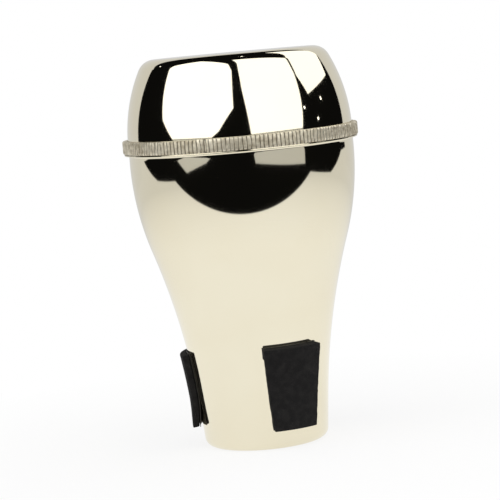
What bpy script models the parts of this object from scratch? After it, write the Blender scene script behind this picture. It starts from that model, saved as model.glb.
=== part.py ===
# A straight mute for a tenor trombone: two spun metal shells, the knurled split band that closes
# their seam, and three foam pads on adhesive films. The mute stands on its open mouth at z = 0,
# +Z runs up its axis, and its flat closed end is at the top. Nothing is inside the shells.

from math import asin, atan2, cos, hypot, pi, radians, sin, sqrt, tan

import bmesh
import bpy

MM = 0.001

# Whole mute
TOTAL_HEIGHT = 223.0 * MM
SHEET = 0.6 * MM  # thickness of the spun metal
SPIN_STEPS = 72
SHARP_ANGLE = radians(30)
MERGE_DISTANCE = 0.001 * MM

# Narrow end: the sheet rolls in round a lip, lies flat for a moment and turns up at the mouth
MOUTH_RADIUS = 28.0 * MM
FOOT_RADIUS = 30.65 * MM  # outer edge of the flat land that the mute stands on
LIP_RADIUS = 5.0 * MM
CURL_RADIUS = 1.2 * MM
CURL_RISE = 0.8 * MM
CURL_STEPS = 2
LIP_STEPS = 4

# Lower shell: a cone, a hollow arc and a full arc, each running into the next without a kink
NECK_TAPER = radians(5.0)
FLARE_START = 25.0 * MM
SHELL_RADIUS = 63.8 * MM  # widest radius of both shells
BELLY_HEIGHT = 164.2 * MM
BELLY_ARC = 160.0 * MM
THROAT_STEPS = 5
BELLY_STEPS = 6

# Seam: the lower shell turns out into a flange that carries the band
FLANGE_TOP = 170.8 * MM
FLANGE_RADIUS = 66.4 * MM
FLANGE_FILLET = 1.0 * MM
FILLET_STEPS = 3

# Upper shell: an upright skirt that drops into the flared seam, a full arc, a corner, a flat end
SKIRT_BOTTOM = 170.8 * MM
CAP_EQUATOR = 176.0 * MM
CAP_ARC = 92.6 * MM
CAP_CORNER = 10.0 * MM
SIDE_STEPS = 5
CORNER_STEPS = 5

# Knurled band: a channel with two lips, open towards the axis and split at one place
BAND_BOTTOM = 171.1 * MM
BAND_TOP = 178.5 * MM
BAND_INNER_RADIUS = 64.1 * MM
BAND_SHEET = 0.7 * MM
TOOTH_RADIUS = 67.0 * MM
TOOTH_DEPTH = 0.6 * MM
TOOTH_CHAMFER = 0.6 * MM
TOOTH_COUNT = 180
CHANNEL_STEPS = 72  # round the inside of the band
SPLIT_ANGLE = radians(-107.0)  # the side with the front pad faces -90 degrees
SPLIT_WIDTH = 0.3 * MM

# Foam pads, cut by hand, a third of a turn apart on the neck; widths are along the wall
PADS = {
    "pad_front": {"angle": -65.0, "bottom": 11.8, "top": 59.0, "narrow": 23.5, "wide": 32.5, "foam": 4.5},
    "pad_back": {"angle": 55.0, "bottom": 11.8, "top": 59.0, "narrow": 23.5, "wide": 32.5, "foam": 4.5},
    "pad_left": {"angle": 175.0, "bottom": 13.0, "top": 55.1, "narrow": 25.0, "wide": 31.5, "foam": 3.8},
}
PAD_EDGE = 0.7 * MM
PAD_CELLS = 8
PAD_EDGE_STEPS = 2
FILM_OFFSET = 0.25 * MM
FILM_THICKNESS = 0.3 * MM
PAD_OFFSET = 0.85 * MM

# Finish of each kind of piece: colour, metallic, roughness
POLISHED_NICKEL = ((0.88, 0.84, 0.74), 1.0, 0.05)
KNURLED_NICKEL = ((0.62, 0.58, 0.48), 1.0, 0.35)
BLACK_FOAM = ((0.018, 0.018, 0.019), 0.0, 0.9)
ADHESIVE_FILM = ((0.030, 0.028, 0.024), 0.0, 0.5)


def arc(centre, radius, start, stop, steps):
    """Points on an arc in the (radius, height) plane, with both ends."""
    angles = [start + (stop - start) * i / steps for i in range(steps + 1)]
    return [(centre[0] + radius * cos(a), centre[1] + radius * sin(a)) for a in angles]


def walk(arcs, depth=0.0):
    """The points along a chain of arcs, at a depth inside the outer surface."""
    points = []
    for centre, radius, start, stop, steps, inward in arcs:
        for point in arc(centre, radius + inward * depth, start, stop, steps):
            if not points or hypot(point[0] - points[-1][0], point[1] - points[-1][1]) > MERGE_DISTANCE:
                points.append(point)
    return points


def lower_arcs():
    """Arcs of the lower shell's outer surface, from the foot to the flange.

    Each is (centre, radius, start angle, stop angle, steps, inward), where inward is -1 on a full
    arc and 1 on a hollow one. The straight cone lies between the first two.
    """
    lip_centre = (FOOT_RADIUS, LIP_RADIUS)
    normal = (cos(NECK_TAPER), -sin(NECK_TAPER))
    cone_radius = FOOT_RADIUS + LIP_RADIUS / cos(NECK_TAPER)  # at the lip's own height
    flare_radius = cone_radius + (FLARE_START - LIP_RADIUS) * tan(NECK_TAPER)

    belly_centre = (SHELL_RADIUS - BELLY_ARC, BELLY_HEIGHT)
    across = (flare_radius - belly_centre[0], FLARE_START - belly_centre[1])
    reach = across[0] * normal[0] + across[1] * normal[1]
    throat_arc = (across[0] ** 2 + across[1] ** 2 - BELLY_ARC ** 2) / (2 * (BELLY_ARC - reach))
    throat_centre = (flare_radius + throat_arc * normal[0], FLARE_START + throat_arc * normal[1])
    turn = atan2(throat_centre[1] - belly_centre[1], throat_centre[0] - belly_centre[0])

    bend_height = FLANGE_TOP - SHEET - FLANGE_FILLET
    rise = asin((bend_height - BELLY_HEIGHT) / (BELLY_ARC + FLANGE_FILLET))
    bend_centre = (belly_centre[0] + (BELLY_ARC + FLANGE_FILLET) * cos(rise), bend_height)
    return [
        (lip_centre, LIP_RADIUS, -pi / 2, -NECK_TAPER, LIP_STEPS, -1),
        (throat_centre, throat_arc, pi - NECK_TAPER, pi + turn, THROAT_STEPS, 1),
        (belly_centre, BELLY_ARC, turn, rise, BELLY_STEPS, -1),
        (bend_centre, FLANGE_FILLET, pi + rise, pi / 2, FILLET_STEPS, 1),
    ]


def upper_arcs():
    """Arcs of the upper shell's outer surface, from its equator to the edge of the flat end."""
    side_centre = (SHELL_RADIUS - CAP_ARC, CAP_EQUATOR)
    corner_height = TOTAL_HEIGHT - CAP_CORNER
    turn = asin((corner_height - CAP_EQUATOR) / (CAP_ARC - CAP_CORNER))
    corner_centre = (side_centre[0] + (CAP_ARC - CAP_CORNER) * cos(turn), corner_height)
    return [
        (side_centre, CAP_ARC, 0.0, turn, SIDE_STEPS, -1),
        (corner_centre, CAP_CORNER, turn, pi / 2, CORNER_STEPS, -1),
    ]


def material(name, finish):
    colour, metallic, roughness = finish
    made = bpy.data.materials.new(name)
    made.use_nodes = True
    shader = made.node_tree.nodes["Principled BSDF"]
    shader.inputs["Base Color"].default_value = (*colour, 1.0)
    shader.inputs["Metallic"].default_value = metallic
    shader.inputs["Roughness"].default_value = roughness
    return made


def add_piece(name, bm, look):
    """Turns a closed bmesh into a named object with its own material."""
    bmesh.ops.recalc_face_normals(bm, faces=bm.faces)
    mesh = bpy.data.meshes.new(name)
    bm.to_mesh(mesh)
    bm.free()
    mesh.materials.append(look)
    mesh.shade_smooth()
    mesh.set_sharp_from_angle(angle=SHARP_ANGLE)
    piece = bpy.data.objects.new(name, mesh)
    bpy.context.collection.objects.link(piece)
    return piece


def spin_outline(outline, closed):
    """A bmesh turned round +Z from an outline of (radius, height) points.

    An open outline runs from the axis to the axis.
    """
    bm = bmesh.new()
    corners = [bm.verts.new((radius, 0.0, height)) for radius, height in outline]
    following = corners[1:] + corners[:1] if closed else corners[1:]
    edges = [bm.edges.new(pair) for pair in zip(corners, following)]
    bmesh.ops.spin(
        bm,
        geom=corners + edges,
        cent=(0.0, 0.0, 0.0),
        axis=(0.0, 0.0, 1.0),
        angle=2 * pi,
        steps=SPIN_STEPS,
        use_merge=True,
    )
    bmesh.ops.remove_doubles(bm, verts=bm.verts, dist=MERGE_DISTANCE)
    return bm


def body_shell():
    arcs = lower_arcs()
    curl_centre = (MOUTH_RADIUS + CURL_RADIUS, CURL_RADIUS)
    hem_top = CURL_RADIUS + CURL_RISE
    outline = [(MOUTH_RADIUS, hem_top)]
    outline += arc(curl_centre, CURL_RADIUS, pi, 1.5 * pi, CURL_STEPS)
    outline += walk(arcs)
    outline += [(FLANGE_RADIUS, FLANGE_TOP - SHEET), (FLANGE_RADIUS, FLANGE_TOP)]
    outline += reversed(walk(arcs, SHEET))
    outline += arc(curl_centre, CURL_RADIUS - SHEET, 1.5 * pi, pi, CURL_STEPS)
    outline.append((MOUTH_RADIUS + SHEET, hem_top))
    return spin_outline(outline, closed=True)


def end_cap():
    arcs = upper_arcs()
    outline = [(0.0, TOTAL_HEIGHT - SHEET)]
    outline += reversed(walk(arcs, SHEET))
    outline += [(SHELL_RADIUS - SHEET, SKIRT_BOTTOM), (SHELL_RADIUS, SKIRT_BOTTOM)]
    outline += walk(arcs)
    outline.append((0.0, TOTAL_HEIGHT))
    return spin_outline(outline, closed=False)


def band_row(bm, radius, height, steps, tooth=0.0):
    """One row of the band's section all the way round, from one side of the split to the other.

    Every second point is a tooth that stands out by the given height.
    """
    half_split = SPLIT_WIDTH / 2 / TOOTH_RADIUS
    row = []
    for i in range(steps + 1):
        angle = SPLIT_ANGLE + 2 * pi * i / steps
        angle += half_split if i == 0 else -half_split if i == steps else 0.0
        reach = radius + (tooth if i % 2 else 0.0)
        row.append(bm.verts.new((reach * cos(angle), reach * sin(angle), height)))
    return row


def join_rows(bm, fine, coarse):
    """Faces between two rows. Where one is finer, its points fan out from those of the other."""
    share = (len(fine) - 1) // (len(coarse) - 1)
    for i in range(len(coarse) - 1):
        start = i * share
        middle = start + (share + 1) // 2
        if share == 1:
            bm.faces.new((fine[i], fine[i + 1], coarse[i + 1], coarse[i]))
            continue
        for k in range(start, start + share):
            hub = coarse[i] if k < middle else coarse[i + 1]
            bm.faces.new((fine[k], fine[k + 1], hub))
        bm.faces.new((fine[middle], coarse[i + 1], coarse[i]))


def seam_ring():
    root = TOOTH_RADIUS - TOOTH_DEPTH
    channel = root - BAND_SHEET
    teeth = 2 * TOOTH_COUNT
    bm = bmesh.new()
    rows = [
        band_row(bm, root, BAND_BOTTOM, teeth),
        band_row(bm, root, BAND_BOTTOM + TOOTH_CHAMFER, teeth, TOOTH_DEPTH),
        band_row(bm, root, BAND_TOP - TOOTH_CHAMFER, teeth, TOOTH_DEPTH),
        band_row(bm, root, BAND_TOP, teeth),
        band_row(bm, BAND_INNER_RADIUS, BAND_TOP, CHANNEL_STEPS),
        band_row(bm, BAND_INNER_RADIUS, BAND_TOP - BAND_SHEET, CHANNEL_STEPS),
        band_row(bm, channel, BAND_TOP - BAND_SHEET, CHANNEL_STEPS),
        band_row(bm, channel, BAND_BOTTOM + BAND_SHEET, CHANNEL_STEPS),
        band_row(bm, BAND_INNER_RADIUS, BAND_BOTTOM + BAND_SHEET, CHANNEL_STEPS),
        band_row(bm, BAND_INNER_RADIUS, BAND_BOTTOM, CHANNEL_STEPS),
    ]
    for row, other in zip(rows, rows[1:] + rows[:1]):
        join_rows(bm, *sorted((row, other), key=len, reverse=True))
    bm.faces.new([row[0] for row in rows])
    bm.faces.new([row[-1] for row in rows])
    bmesh.ops.triangulate(bm, faces=bm.faces)
    return bm


def wall_point(height, depth):
    """The (radius, height) at a depth outside the lower shell, in its cone or hollow arc."""
    if height < FLARE_START:
        radius = FOOT_RADIUS + LIP_RADIUS / cos(NECK_TAPER) + (height - LIP_RADIUS) * tan(NECK_TAPER)
        return radius + depth * cos(NECK_TAPER), height - depth * sin(NECK_TAPER)
    centre, arc_radius = lower_arcs()[1][:2]
    radius = centre[0] - sqrt(arc_radius ** 2 - (height - centre[1]) ** 2)
    share = depth / arc_radius
    return radius + share * (centre[0] - radius), height + share * (centre[1] - height)


def wrapped_slab(pad, offset, thickness, edge=0.0):
    """A slab that is wrapped round the neck: wide at the top, narrow at the bottom.

    With an edge given, the rim of its outer face is rounded by that much.
    """
    bm = bmesh.new()
    steps = range(PAD_CELLS + 1)

    def layer(depth):
        rows = []
        for j in steps:
            share = j / PAD_CELLS
            height = (pad["bottom"] + (pad["top"] - pad["bottom"]) * share) * MM
            width = (pad["narrow"] + (pad["wide"] - pad["narrow"]) * share) * MM
            wall = wall_point(height, 0.0)[0]
            reach, level = wall_point(height, depth)
            angles = [radians(pad["angle"]) + (i / PAD_CELLS - 0.5) * width / wall for i in steps]
            rows.append([bm.verts.new((reach * cos(a), reach * sin(a), level)) for a in angles])
        return rows

    def rim(rows):
        right = [row[-1] for row in rows[:-1]]
        left = [row[0] for row in rows[:0:-1]]
        return rows[0][:-1] + right + rows[-1][:0:-1] + left

    inner = layer(offset)
    outer = layer(offset + thickness)
    for rows in (inner, outer):
        for low, high in zip(rows, rows[1:]):
            for i in range(PAD_CELLS):
                bm.faces.new((low[i], low[i + 1], high[i + 1], high[i]))
    low, high = rim(inner), rim(outer)
    for i in range(len(low)):
        bm.faces.new((low[i - 1], low[i], high[i], high[i - 1]))
    if edge:
        turned = [bm.edges.get((high[i - 1], high[i])) for i in range(len(high))]
        bmesh.ops.bevel(bm, geom=turned, offset=edge, segments=PAD_EDGE_STEPS, affect="EDGES")
    return bm


def build():
    for stale in list(bpy.data.objects):
        bpy.data.objects.remove(stale)

    add_piece("body_shell", body_shell(), material("polished_nickel", POLISHED_NICKEL))
    add_piece("end_cap", end_cap(), material("polished_nickel_cap", POLISHED_NICKEL))
    add_piece("seam_ring", seam_ring(), material("knurled_nickel", KNURLED_NICKEL))

    for name, pad in PADS.items():
        foam = material(f"black_foam_{name}", BLACK_FOAM)
        film = material(f"adhesive_film_{name}", ADHESIVE_FILM)
        add_piece(name, wrapped_slab(pad, PAD_OFFSET, pad["foam"] * MM, PAD_EDGE), foam)
        add_piece(f"{name}_film", wrapped_slab(pad, FILM_OFFSET, FILM_THICKNESS), film)


build()
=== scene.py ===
from math import asin, atan2, cos, exp, hypot, pi, radians, sin, sqrt, tan

import bpy
from mathutils import Matrix, Vector, noise


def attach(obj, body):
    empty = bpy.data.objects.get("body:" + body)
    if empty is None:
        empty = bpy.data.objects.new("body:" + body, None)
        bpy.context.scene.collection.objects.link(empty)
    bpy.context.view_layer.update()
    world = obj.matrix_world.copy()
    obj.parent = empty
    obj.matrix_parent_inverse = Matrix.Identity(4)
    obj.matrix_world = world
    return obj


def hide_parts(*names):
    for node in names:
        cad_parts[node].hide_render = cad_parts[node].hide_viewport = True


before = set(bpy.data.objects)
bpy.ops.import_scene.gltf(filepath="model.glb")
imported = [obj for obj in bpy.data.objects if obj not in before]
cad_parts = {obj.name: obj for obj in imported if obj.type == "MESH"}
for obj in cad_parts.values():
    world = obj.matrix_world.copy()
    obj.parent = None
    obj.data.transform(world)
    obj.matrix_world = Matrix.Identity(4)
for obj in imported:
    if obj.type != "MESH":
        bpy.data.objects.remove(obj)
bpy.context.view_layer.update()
mm = 0.001

# Camera: a long lens, a little above the mute, tipped to one side
view = {
    "place": (0.0, -1.2194, 0.2337),
    "yaw": -0.00019,
    "pitch": -0.10099,
    "roll": -0.09049,
    "lens": 154.46,
    "nearest": 0.01,
}


def setCamera():
    yaw, pitch, roll = view["yaw"], view["pitch"], view["roll"]
    ahead = Vector((sin(yaw) * cos(pitch), cos(yaw) * cos(pitch), sin(pitch)))
    side = ahead.cross(Vector((0, 0, 1))).normalized()
    upright = side.cross(ahead)
    right = cos(roll) * side + sin(roll) * upright
    up = cos(roll) * upright - sin(roll) * side
    turn = Matrix((right, up, -ahead)).transposed().to_4x4()
    lens = bpy.data.cameras.new("studioCamera")
    lens.lens = view["lens"]
    lens.clip_start = view["nearest"]
    camera = bpy.data.objects.new("studioCamera", lens)
    camera.matrix_world = Matrix.Translation(view["place"]) @ turn
    bpy.context.scene.collection.objects.link(camera)
    bpy.context.scene.camera = camera
    print("placed the camera")


# Shader maths as Python expressions
class Wire:
    def __init__(self, nodes, socket):
        self.nodes = nodes
        self.socket = socket

    def __add__(self, other):
        return self.nodes.maths("ADD", self, other)

    def __mul__(self, other):
        return self.nodes.maths("MULTIPLY", self, other)

    def __rsub__(self, other):
        return self.nodes.maths("SUBTRACT", other, self)

    __radd__ = __add__
    __rmul__ = __mul__


class Nodes:
    def __init__(self, tree):
        self.tree = tree

    def node(self, kind, settings=None, out=0, **sockets):
        # i0, i1 and so on name a socket by its number, any other word by its name
        made = self.tree.nodes.new("ShaderNode" + kind)
        for key, value in (settings or {}).items():
            setattr(made, key, value)
        for key, value in sockets.items():
            socket = made.inputs[int(key[1:]) if key[1:].isdigit() else key.replace("_", " ")]
            if isinstance(value, Wire):
                self.tree.links.new(value.socket, socket)
            else:
                socket.default_value = value
        return Wire(self, made.outputs[out]) if made.outputs else None

    def maths(self, operation, first, second):
        return self.node("Math", {"operation": operation}, i0=first, i1=second)

    def between(self, value, low, high, atLow=0.0, atHigh=1.0):
        return self.node("MapRange", Value=value, From_Min=low, From_Max=high, To_Min=atLow, To_Max=atHigh)


class Finish(Nodes):
    def __init__(self, name, **constants):
        self.material = bpy.data.materials.new(name)
        self.material.use_nodes = True
        super().__init__(self.material.node_tree)
        self.shader = self.tree.nodes["Principled BSDF"]
        for socket, value in constants.items():
            self.shader.inputs[socket.replace("_", " ")].default_value = value
        self.place = self.node("TexCoord", out="Object")

    def noise(self, scale, detail=3.0, place=None):
        return self.node("TexNoise", Vector=place or self.place, Scale=scale, Detail=detail)

    def blend(self, factor, first, second):
        if not isinstance(first, Wire):
            first = (*first, 1.0)
        return self.node("Mix", {"data_type": "RGBA"}, out=2, i0=factor, i6=first, i7=(*second, 1.0))

    def bump(self, height, strength, distance):
        self.feed("Normal", self.node("Bump", Strength=strength, Distance=distance, Height=height))

    def feed(self, socket, wire):
        self.tree.links.new(wire.socket, self.shader.inputs[socket])


# Finishes: colours, noise scales, and bump depths in metres
nickelFinish = {
    "clean": (0.88, 0.825, 0.655),
    "warm": (0.855, 0.79, 0.61),
    "cloudScale": 14.0,
    "cloudRange": (0.35, 0.7),  # from clean to warm
    "wipeScale": 120.0,
    "wipeDetail": 6.0,
    "ringStretch": (6.0, 6.0, 2600.0),  # makes fine rings round the axis
    "ringStrength": 0.05,
    "ringDepth": 0.00001,
    "roughness": 0.03,
    "cloudRoughness": 0.02,
    "wipeRoughness": 0.015,
}


def polishedNickel():
    f = nickelFinish
    finish = Finish("polishedNickel", Metallic=1.0)
    cloud = finish.noise(f["cloudScale"])
    stretched = finish.node("Mapping", Vector=finish.place, Scale=f["ringStretch"])
    rings = finish.noise(1.0, place=stretched)
    wipe = finish.noise(f["wipeScale"], f["wipeDetail"])
    finish.feed("Base Color", finish.blend(finish.between(cloud, *f["cloudRange"]), f["clean"], f["warm"]))
    finish.feed("Roughness", f["roughness"] + cloud * f["cloudRoughness"] + wipe * f["wipeRoughness"])
    finish.bump(rings, f["ringStrength"], f["ringDepth"])
    return finish.material


knurlFinish = {
    "rib": (0.93, 0.86, 0.69),
    "stained": (0.50, 0.44, 0.32),
    # Dark colour of the painted shade in the grooves, the split and along the band's foot
    "paintedShade": (0.045, 0.036, 0.018),
    "mottleScale": 420.0,
    "mottleDetail": 4.0,
    "broadScale": 60.0,
    "broadDetail": 2.0,
    "broadShare": 0.6,
    "stainRange": (0.62, 1.0),
    "roughness": 0.32,
    "stainRoughness": 0.2,
    "paintedShadeRoughness": 0.3,
    "metallic": 0.8,
    "paintedShadeMetallic": 0.5,  # taken off where the painted shade lies
    "mottleStrength": 0.35,
    "mottleDepth": 0.00006,
}


def knurledNickel():
    f = knurlFinish
    finish = Finish("knurledNickel")
    # The mask from carveBand paints shade into the grooves, the split and the foot of the band
    paintedShade = finish.node("Attribute", {"attribute_name": "paintedShade"}, out="Fac")
    mottle = finish.noise(f["mottleScale"], f["mottleDetail"])
    broad = finish.noise(f["broadScale"], f["broadDetail"])
    stain = finish.between(mottle + broad * f["broadShare"], *f["stainRange"])
    ribs = finish.blend(stain, f["rib"], f["stained"])
    finish.feed("Base Color", finish.blend(paintedShade, ribs, f["paintedShade"]))
    finish.feed("Roughness", f["roughness"] + stain * f["stainRoughness"] + paintedShade * f["paintedShadeRoughness"])
    finish.feed("Metallic", f["metallic"] - paintedShade * f["paintedShadeMetallic"])
    finish.bump(mottle, f["mottleStrength"], f["mottleDepth"])
    return finish.material


foamFinish = {
    "dark": (0.005, 0.0045, 0.0045),
    "dusty": (0.014, 0.013, 0.0125),
    "specular": 0.25,
    "cellScale": 1500.0,
    "dustScale": 260.0,
    "dustDetail": 5.0,
    "dustRange": (0.4, 0.75),
    "dustHeight": 0.5,
    "roughness": 0.82,
    "dustRoughness": 0.14,
    "cellStrength": 0.6,
    "cellDepth": 0.0003,
}


def blackFoam():
    f = foamFinish
    finish = Finish("blackFoam", Metallic=0.0, Specular_IOR_Level=f["specular"])
    cells = finish.node("TexVoronoi", Vector=finish.place, Scale=f["cellScale"])
    dust = finish.noise(f["dustScale"], f["dustDetail"])
    finish.feed("Base Color", finish.blend(finish.between(dust, *f["dustRange"]), f["dark"], f["dusty"]))
    finish.feed("Roughness", f["roughness"] + dust * f["dustRoughness"])
    finish.bump(cells + dust * f["dustHeight"], f["cellStrength"], f["cellDepth"])
    return finish.material


# The film is glue film, and its dark edge standing out round each pad is also painted contact shadow
filmFinish = {
    "dark": (0.020, 0.018, 0.015),
    "pale": (0.040, 0.036, 0.028),
    "creaseScale": 300.0,
    "creaseDetail": 4.0,
    "roughness": 0.38,
    "creaseRoughness": 0.25,
    "creaseStrength": 0.4,
    "creaseDepth": 0.0002,
}


def adhesiveFilm():
    f = filmFinish
    finish = Finish("adhesiveFilm", Metallic=0.0)
    crease = finish.noise(f["creaseScale"], f["creaseDetail"])
    finish.feed("Base Color", finish.blend(crease, f["dark"], f["pale"]))
    finish.feed("Roughness", f["roughness"] + crease * f["creaseRoughness"])
    finish.bump(crease, f["creaseStrength"], f["creaseDepth"])
    return finish.material


# Outlines of the two shells, in millimetres, as (radius, height)
shell = {
    "sides": 256,
    "sheet": 0.6,
    "top": 223.0,
    "mouthRadius": 28.0,
    "footRadius": 30.65,
    "lipRadius": 5.0,
    "lipSteps": 14,
    "curlRadius": 1.2,
    "curlRise": 0.8,
    "curlSteps": 6,
    "taper": radians(5.0),
    "flareStart": 25.0,
    "throatSteps": 34,
    "widest": 63.8,
    "bellyHeight": 164.2,
    "bellyArc": 160.0,
    "bellySteps": 40,
    "flangeTop": 170.8,
    "flangeRadius": 66.4,
    "flangeEase": 0.1,
    "fillet": 1.0,
    "filletSteps": 8,
    "capEquator": 176.0,
    "capArc": 92.6,
    "capSteps": 30,
    "capCorner": 10.0,
    "cornerSteps": 22,
    "closest": 0.01,  # a point nearer than this to the last one is left out
}
lathe = {"blank": 0.001, "weld": 0.000001, "smoothBelow": radians(38)}  # lengths in metres


def arc(centre, radius, start, stop, steps):
    angles = [start + (stop - start) * i / steps for i in range(steps + 1)]
    return [(centre[0] + radius * cos(a), centre[1] + radius * sin(a)) for a in angles]


def lowerArcs():
    # Lip, hollow throat, full belly and the bend into the flange, with the straight cone after the lip.
    # Each has its centre, radius, start, stop and steps, then -1 if the sheet's inner face is nearer
    # the centre than its outer face, or 1 if it is farther
    s = shell
    slope = (cos(s["taper"]), -sin(s["taper"]))
    coneRadius = s["footRadius"] + s["lipRadius"] / cos(s["taper"])
    flareRadius = coneRadius + (s["flareStart"] - s["lipRadius"]) * tan(s["taper"])
    belly = (s["widest"] - s["bellyArc"], s["bellyHeight"])
    across = (flareRadius - belly[0], s["flareStart"] - belly[1])
    reach = across[0] * slope[0] + across[1] * slope[1]
    throatArc = (across[0] ** 2 + across[1] ** 2 - s["bellyArc"] ** 2) / (2 * (s["bellyArc"] - reach))
    throat = (flareRadius + throatArc * slope[0], s["flareStart"] + throatArc * slope[1])
    turn = atan2(throat[1] - belly[1], throat[0] - belly[0])
    bendHeight = s["flangeTop"] - s["sheet"] - s["fillet"]
    rise = asin((bendHeight - s["bellyHeight"]) / (s["bellyArc"] + s["fillet"]))
    bend = (belly[0] + (s["bellyArc"] + s["fillet"]) * cos(rise), bendHeight)
    return [
        ((s["footRadius"], s["lipRadius"]), s["lipRadius"], -pi / 2, -s["taper"], s["lipSteps"], -1),
        (throat, throatArc, pi - s["taper"], pi + turn, s["throatSteps"], 1),
        (belly, s["bellyArc"], turn, rise, s["bellySteps"], -1),
        (bend, s["fillet"], pi + rise, pi / 2, s["filletSteps"], 1),
    ]


def upperArcs():
    s = shell
    side = (s["widest"] - s["capArc"], s["capEquator"])
    cornerHeight = s["top"] - s["capCorner"]
    turn = asin((cornerHeight - s["capEquator"]) / (s["capArc"] - s["capCorner"]))
    corner = (side[0] + (s["capArc"] - s["capCorner"]) * cos(turn), cornerHeight)
    return [
        (side, s["capArc"], 0.0, turn, s["capSteps"], -1),
        (corner, s["capCorner"], turn, pi / 2, s["cornerSteps"], -1),
    ]


def follow(arcs, depth=0.0):
    points = []
    for centre, radius, start, stop, steps, inward in arcs:
        for point in arc(centre, radius + inward * depth, start, stop, steps):
            if not points or hypot(point[0] - points[-1][0], point[1] - points[-1][1]) > shell["closest"]:
                points.append(point)
    return points


def finishPiece(piece, look, nodes):
    bpy.ops.object.select_all(action="DESELECT")
    piece.select_set(True)
    bpy.context.view_layer.objects.active = piece
    bpy.ops.object.shade_smooth_by_angle(angle=lathe["smoothBelow"])
    piece.data.materials.clear()
    piece.data.materials.append(look)
    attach(piece, "root")
    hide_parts(*nodes)
    print("made", piece.name, len(piece.data.polygons), "faces")


def turnOnLathe(name, outline, sides, closed):
    # One point is drawn out along the outline, then the outline is spun round the axis
    bpy.ops.object.select_all(action="DESELECT")
    start = (outline[0][0] * mm, 0.0, outline[0][1] * mm)
    bpy.ops.mesh.primitive_plane_add(size=lathe["blank"], location=start)
    piece = bpy.context.object
    piece.name = name
    bpy.ops.object.transform_apply(location=True, rotation=True, scale=True)
    bpy.ops.object.mode_set(mode="EDIT")
    bpy.ops.mesh.select_all(action="SELECT")
    bpy.ops.mesh.merge(type="CENTER")
    stops = outline[1:] + outline[:1] if closed else outline[1:]
    before = outline[0]
    for stop in stops:
        step = ((stop[0] - before[0]) * mm, 0.0, (stop[1] - before[1]) * mm)
        bpy.ops.mesh.extrude_vertices_move(TRANSFORM_OT_translate={"value": step})
        before = stop
    bpy.ops.mesh.select_all(action="SELECT")
    bpy.ops.mesh.remove_doubles(threshold=lathe["weld"])
    bpy.ops.mesh.select_all(action="SELECT")
    bpy.ops.mesh.spin(steps=sides, angle=2 * pi, center=(0, 0, 0), axis=(0, 0, 1))
    bpy.ops.mesh.select_all(action="SELECT")
    bpy.ops.mesh.remove_doubles(threshold=lathe["weld"])
    bpy.ops.mesh.normals_make_consistent(inside=False)
    bpy.ops.object.mode_set(mode="OBJECT")
    return piece


def makeBody(look):
    s = shell
    curl = (s["mouthRadius"] + s["curlRadius"], s["curlRadius"])
    hem = s["curlRadius"] + s["curlRise"]
    eased = s["flangeRadius"] - s["flangeEase"]
    outline = [(s["mouthRadius"], hem)]
    outline += arc(curl, s["curlRadius"], pi, 1.5 * pi, s["curlSteps"])
    outline += follow(lowerArcs())
    outline.append((eased, s["flangeTop"] - s["sheet"]))
    outline.append((s["flangeRadius"], s["flangeTop"] - s["sheet"] / 2))
    outline.append((eased, s["flangeTop"]))
    outline += reversed(follow(lowerArcs(), s["sheet"]))
    outline += arc(curl, s["curlRadius"] - s["sheet"], 1.5 * pi, pi, s["curlSteps"])
    outline.append((s["mouthRadius"] + s["sheet"], hem))
    body = turnOnLathe("bodyShell", outline, s["sides"], True)
    finishPiece(body, look, ["body_shell"])


def makeCap(look):
    s = shell
    outline = [(0.0, s["top"] - s["sheet"])]
    outline += reversed(follow(upperArcs(), s["sheet"]))
    outline += [(s["widest"] - s["sheet"], s["flangeTop"]), (s["widest"], s["flangeTop"])]
    outline += follow(upperArcs())
    outline.append((0.0, s["top"]))
    cap = turnOnLathe("endCap", outline, s["sides"], False)
    finishPiece(cap, look, ["end_cap"])


# Knurled band, in millimetres: a channel open towards the axis, with carved ribs and a split
band = {
    "bottom": 171.1,
    "top": 178.5,
    "inner": 64.1,
    "channel": 65.7,
    "crest": 66.98,
    "sheet": 0.7,
    # Each edge's rounding, as (inset from the crest, distance from the edge)
    "rounding": [(1.0, 0.0), (0.45, 0.12), (0.15, 0.4), (0.0, 0.9), (0.0, 2.6)],
    "carved": 0.7,  # what lies no farther in from the crest is carved
    "ribs": 180,
    "facesPerRib": 8,
    "grooveDepth": 0.6,
    "grooveWidth": 0.25,
    "ribCrown": 0.05,
    "wander": 0.18,
    "wanderPattern": (1.7, 0.25, 3.0),
    "wear": 0.12,
    "wearPattern": (0.9, 0.6, 9.0),
    "leastWear": 0.05,
    "endShare": 0.55,
    "splitAngle": radians(-107.0),
    "splitWidth": 0.75,
    "splitDepth": 1.4,
    # How strongly shade is painted into the split and along the foot, and how the painted shade is scaled
    "splitShade": 1.2,
    "footShade": 0.25,
    "footHeight": 0.5,
    "shadeGain": 1.15,
    "shadeStart": 0.1,
}


def ribNoise(rib, height, pattern):
    return noise.noise((rib * pattern[0], height * pattern[1], pattern[2]))


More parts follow.
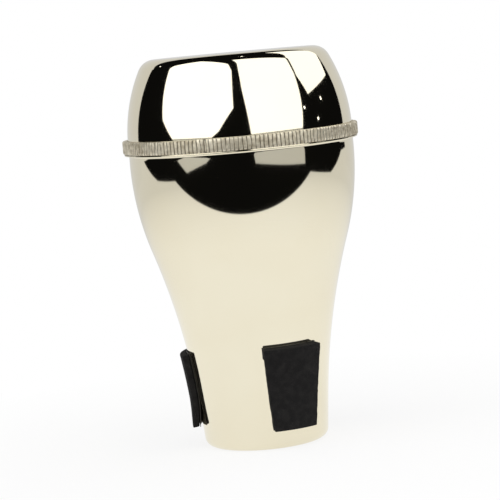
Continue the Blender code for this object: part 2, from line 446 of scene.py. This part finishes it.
def carveBand(point):
    # Moves a point of the band's face in for the grooves, the wear and the split; gives its painted shade,
    # darkest in the grooves, the split and along the foot
    b = band
    radius = hypot(point.co.x, point.co.y) / mm
    if radius < b["crest"] - b["carved"]:
        return 0.0
    height = point.co.z / mm
    angle = atan2(point.co.y, point.co.x)
    pitch = 2 * pi * b["crest"] / b["ribs"]
    turn = (angle - b["splitAngle"]) * b["ribs"] / (2 * pi)
    rib = round(turn)
    wander = b["wander"] * ribNoise(rib, height, b["wanderPattern"])
    across = (turn - rib + wander) * pitch
    groove = exp(-(across / b["grooveWidth"]) ** 2)
    end = min(height - b["bottom"], b["top"] - height)
    worn = b["wear"] * ribNoise(rib, height, b["wearPattern"]) + b["leastWear"]
    cut = b["grooveDepth"] * groove + max(0.0, worn) + b["ribCrown"] * (2 * across / pitch) ** 2
    around = abs((angle - b["splitAngle"] + pi) % (2 * pi) - pi) * b["crest"]
    split = exp(-(around / b["splitWidth"]) ** 2)
    cut = cut * min(1.0, b["endShare"] + end) + b["splitDepth"] * split
    share = (radius - cut) / radius
    point.co.x *= share
    point.co.y *= share
    # Painted shade: darkest in the grooves and the split, with a strip of it along the foot
    foot = b["footShade"] if height < b["bottom"] + b["footHeight"] else 0.0
    darkening = groove + b["splitShade"] * split + foot
    return min(1.0, max(0.0, b["shadeGain"] * darkening - b["shadeStart"]))


def makeBand(look):
    b = band
    low, high = b["bottom"], b["top"]
    outline = [(b["inner"], low)]
    outline += [(b["crest"] - inset, low + rise) for inset, rise in b["rounding"]]
    outline += [(b["crest"] - inset, high - rise) for inset, rise in reversed(b["rounding"])]
    outline += [(b["inner"], high), (b["inner"], high - b["sheet"]), (b["channel"], high - b["sheet"])]
    outline += [(b["channel"], low + b["sheet"]), (b["inner"], low + b["sheet"])]
    ring = turnOnLathe("seamRing", outline, b["ribs"] * b["facesPerRib"], True)
    # Each point keeps its painted shade for the knurl's colour
    paintedShade = ring.data.attributes.new("paintedShade", "FLOAT", "POINT")
    for index, point in enumerate(ring.data.vertices):
        paintedShade.data[index].value = carveBand(point)
    finishPiece(ring, look, ["seam_ring"])


# Foam pads, in millimetres: angle of the middle, height range, widths along the wall, foam depth,
# and how far the lower corner at the right stands off
pads = {
    "pad_front": {"angle": -65.0, "bottom": 11.8, "top": 59.0, "narrow": 23.5, "wide": 32.5, "foam": 4.5},
    "pad_back": {"angle": 55.0, "bottom": 11.8, "top": 59.0, "narrow": 23.5, "wide": 32.5, "foam": 4.5},
    "pad_left": {"angle": 175.0, "bottom": 13.0, "top": 55.1, "narrow": 25.0, "wide": 31.5, "foam": 3.8,
                 "peel": 2.0},
}
padShape = {
    "offset": 0.85,
    "edge": 0.7,
    "edgeSegments": 3,
    "edgeAngle": radians(50),
    "cells": (44, 66),
    "waver": 0.22,  # of the hand-cut sides
    "waverPower": 6,
    "waverPattern": (0.35, 0.12),
    "lumps": 0.08,
    "lumpPattern": 1.9,
    "lumpsAbove": 1.0,
    "peelReach": 20.0,
    "filmOffset": 0.25,
    "filmDepth": 0.3,
    # The film stands out past the foam all round; this dark overhang is painted contact shadow as well as
    # glue film
    "filmShadowMargin": 0.25,
    "filmCells": (30, 48),
    "tailWidth": 1.0,
    "tailHeight": 6.5,
    "tailFrom": -0.45,  # share of the width, from the middle
    "tailLeast": 0.6,
    "tailRagged": 0.5,
}


def wallPoint(height, depth):
    # Gives the radius and height of a point that stands off the cone or the hollow throat by a depth
    s = shell
    if height < s["flareStart"]:
        foot = s["footRadius"] + s["lipRadius"] / cos(s["taper"])
        radius = foot + (height - s["lipRadius"]) * tan(s["taper"])
        return radius + depth * cos(s["taper"]), height - depth * sin(s["taper"])
    centre, arcRadius = lowerArcs()[1][:2]
    radius = centre[0] - sqrt(arcRadius ** 2 - (height - centre[1]) ** 2)
    share = depth / arcRadius
    return radius + share * (centre[0] - radius), height + share * (centre[1] - height)


def flatSlab(name, width, height, depth, cells, edge=0.0):
    bpy.ops.object.select_all(action="DESELECT")
    bpy.ops.mesh.primitive_grid_add(x_subdivisions=cells[0], y_subdivisions=cells[1], size=1.0)
    piece = bpy.context.object
    piece.name = name
    piece.scale = (width, height, 1.0)
    bpy.ops.object.transform_apply(location=True, rotation=True, scale=True)
    thicken = piece.modifiers.new("thicken", "SOLIDIFY")
    thicken.thickness = depth
    thicken.offset = 1.0
    bpy.ops.object.modifier_apply(modifier="thicken")
    if edge:
        rounding = piece.modifiers.new("rounding", "BEVEL")
        rounding.width = edge
        rounding.segments = padShape["edgeSegments"]
        rounding.limit_method = "ANGLE"
        rounding.angle_limit = padShape["edgeAngle"]
        bpy.ops.object.modifier_apply(modifier="rounding")
    return piece


def wrapOnNeck(piece, pad, offset, shadowOverhang=0.0, tail=False):
    # Bends a flat slab round the neck, wide at the top, and lets a loose corner stand off
    p = padShape
    tall = pad["top"] - pad["bottom"] + 2 * shadowOverhang
    middleWidth = (pad["narrow"] + pad["wide"]) / 2 + 2 * shadowOverhang
    for point in piece.data.vertices:
        across = point.co.x / middleWidth
        up = point.co.y / tall + 0.5
        height = pad["bottom"] - shadowOverhang + tall * up
        width = pad["narrow"] + (pad["wide"] - pad["narrow"]) * up + 2 * shadowOverhang
        along = across * width
        fringe = noise.noise((height * p["waverPattern"][0], along * p["waverPattern"][1], pad["angle"]))
        along += p["waver"] * fringe * abs(2 * across) ** p["waverPower"]
        if tail and across < p["tailFrom"] and pad["top"] - height < p["tailHeight"]:
            along -= p["tailWidth"] * (p["tailLeast"] + p["tailRagged"] * fringe)
        depth = offset + point.co.z
        toCorner = hypot(width / 2 - along, height - pad["bottom"])
        depth += pad.get("peel", 0.0) * max(0.0, 1.0 - toCorner / p["peelReach"]) ** 2
        if point.co.z > p["lumpsAbove"]:
            lump = noise.noise((along * p["lumpPattern"], height * p["lumpPattern"], pad["angle"]))
            depth += p["lumps"] * lump
        radius, level = wallPoint(height, depth)
        angle = radians(pad["angle"]) + along / wallPoint(height, 0.0)[0]
        point.co = Vector((radius * cos(angle), radius * sin(angle), level)) * mm


def makePads(foamLook, filmLook):
    p = padShape
    shadowOverhang = p["filmShadowMargin"]
    for node, pad in pads.items():
        tall = pad["top"] - pad["bottom"]
        middle = (pad["narrow"] + pad["wide"]) / 2
        foam = flatSlab(node + "Foam", middle, tall, pad["foam"], p["cells"], p["edge"])
        wrapOnNeck(foam, pad, p["offset"])
        finishPiece(foam, foamLook, [node])
        # Glue film under the foam; its dark overhang round the foam is painted contact shadow
        film = flatSlab(node + "Film", middle + 2 * shadowOverhang, tall + 2 * shadowOverhang, p["filmDepth"], p["filmCells"])
        wrapOnNeck(film, pad, p["filmOffset"], shadowOverhang, node == "pad_front")
        finishPiece(film, filmLook, [node + "_film"])


# Studio, in metres: a white table and backdrop, soft panels, and a dark room in front
studio = {
    "tableEdge": [(-1.10, -0.352), (0.98, -0.352), (1.02, 0.15), (2.47, 1.45), (2.47, 3.9), (-6.6, 3.9),
                  (-1.31, 0.15)],
    "tableGlow": (0.97, 0.70),  # near the mute and far from it
    "glowChanges": (0.20, 0.90),  # distances from the mute's foot
    "shadowShare": 0.2,
    "shadowFades": (0.08, 0.30),  # distances from the mute's foot
    "white": 0.9,
    "backdrop": {"left": -1.42, "right": 1.22, "place": 1.0, "top": 1.1},
    "backdropGlow": (0.68, 0.68),
    "roomGlow": 0.40,
    "darkGlow": 0.004,
    "lampRadius": 0.022,
    "lampSides": 16,
    "lampRings": 8,
    "lampGlow": 4.0,
}
softboxes = {
    "leftSoftbox": {
        "glow": 1.55,
        "corners": [(-0.11, -1.44, 0.70), (-0.07, -1.08, 1.31), (-0.50, 0.10, 1.58), (-1.02, 0.21, 1.32),
                    (-1.51, -0.17, 0.47), (-1.46, -0.50, 0.20), (-0.72, -1.36, 0.20), (-0.54, -1.46, 0.31)],
    },
    "leftReflector": {
        "glow": 0.57,
        "corners": [(-1.46, -0.50, 0.19), (-1.31, -0.83, 0.01), (-0.91, -1.27, 0.10), (-0.72, -1.36, 0.19)],
    },
    "rightSoftbox": {
        "glow": 1.50,
        "corners": [(0.30, -1.53, 0.20), (0.15, -1.31, 1.02), (-0.02, -0.35, 1.69), (1.07, -0.22, 1.28),
                    (1.28, -0.34, 0.99), (1.42, -0.57, 0.42), (1.41, -0.64, 0.20)],
    },
    "rightReflector": {
        "glow": 0.54,
        "corners": [(0.35, -1.52, 0.05), (0.31, -1.53, 0.19), (1.41, -0.64, 0.19), (1.40, -0.66, 0.0)],
    },
    "rearSoftbox": {
        "glow": 1.45,
        "corners": [(0.31, 0.71, 1.48), (0.68, 0.98, 1.12), (1.24, 0.78, 0.63), (1.46, -0.22, 0.66),
                    (1.31, -0.30, 0.95), (1.07, -0.15, 1.29)],
    },
}
smallLamps = [(-1.00, 0.69, 1.12), (0.12, 0.26, 1.68), (1.49, 0.19, 0.52), (1.44, -0.47, 0.50),
              (1.54, -0.08, 0.29)]


def bareMaterial(name):
    made = bpy.data.materials.new(name)
    made.use_nodes = True
    made.node_tree.nodes.clear()
    return made, Nodes(made.node_tree)


def stageMaterial(name, glow, shadowShare):
    # Shows the camera and the metal a plain glow, mixed near the mute with lit white that holds shadows
    made, nodes = bareMaterial(name)
    onCamera = nodes.node("LightPath", out="Is Camera Ray")
    inMetal = nodes.node("LightPath", out="Is Glossy Ray")
    place = nodes.node("TexCoord", out="Object")
    away = nodes.node("VectorMath", {"operation": "LENGTH"}, out="Value", i0=place)
    dimmed = nodes.between(away, *studio["glowChanges"], *glow)
    strength = nodes.maths("MAXIMUM", onCamera, dimmed)
    seen = nodes.maths("MAXIMUM", onCamera, inMetal)
    share = seen * nodes.between(away, *studio["shadowFades"], 1.0 - shadowShare)
    lit = nodes.node("BsdfDiffuse", Color=(studio["white"], studio["white"], studio["white"], 1.0))
    plain = nodes.node("Emission", Strength=strength)
    nodes.node("OutputMaterial", Surface=nodes.node("MixShader", i0=share, i1=lit, i2=plain))
    return made


def glowing(name, strength):
    made, nodes = bareMaterial(name)
    nodes.node("OutputMaterial", Surface=nodes.node("Emission", Strength=strength))
    return made


def panelOf(name, corners, look):
    mesh = bpy.data.meshes.new(name)
    mesh.from_pydata(corners, [], [list(range(len(corners)))])
    mesh.materials.append(look)
    panel = bpy.data.objects.new(name, mesh)
    bpy.context.scene.collection.objects.link(panel)
    return panel


def makeTable():
    corners = [(x, y, 0.0) for x, y in studio["tableEdge"]]
    panelOf("table", corners, stageMaterial("whiteTable", studio["tableGlow"], studio["shadowShare"]))
    b = studio["backdrop"]
    corners = [(b["left"], b["place"], 0.0), (b["right"], b["place"], 0.0),
               (b["right"], b["place"], b["top"]), (b["left"], b["place"], b["top"])]
    panelOf("backdrop", corners, stageMaterial("whiteBackdrop", studio["backdropGlow"], 0.0))
    print("laid the table and hung the backdrop")


def makeLights():
    for name, box in softboxes.items():
        panel = panelOf(name, box["corners"], glowing(name + "Light", box["glow"]))
        panel.visible_camera = False
    lampLook = glowing("smallLampLight", studio["lampGlow"])
    for index, place in enumerate(smallLamps):
        bpy.ops.mesh.primitive_uv_sphere_add(segments=studio["lampSides"], ring_count=studio["lampRings"],
                                             radius=studio["lampRadius"], location=place)
        lamp = bpy.context.object
        lamp.name = "smallLamp" + str(index + 1)
        lamp.data.materials.append(lampLook)
        lamp.visible_camera = False
    print("set", len(softboxes), "panels and", len(smallLamps), "small lamps")


def makeRoom():
    # White to the camera, dark in the metal, and a middling fill for everything else
    world = bpy.data.worlds.new("studioWorld")
    bpy.context.scene.world = world
    world.use_nodes = True
    world.node_tree.nodes.clear()
    nodes = Nodes(world.node_tree)
    onCamera = nodes.node("LightPath", out="Is Camera Ray")
    inMetal = nodes.node("LightPath", out="Is Glossy Ray")
    fill = inMetal * (studio["darkGlow"] - studio["roomGlow"]) + studio["roomGlow"]
    strength = nodes.maths("MAXIMUM", onCamera, fill)
    room = nodes.node("Background", Color=(1.0, 1.0, 1.0, 1.0), Strength=strength)
    nodes.node("OutputWorld", Surface=room)
    bpy.context.scene.view_settings.view_transform = "Standard"
    print("lit the room")


setCamera()
polished = polishedNickel()
makeBody(polished)
makeCap(polished)
makeBand(knurledNickel())
makePads(blackFoam(), adhesiveFilm())
makeTable()
makeLights()
makeRoom()
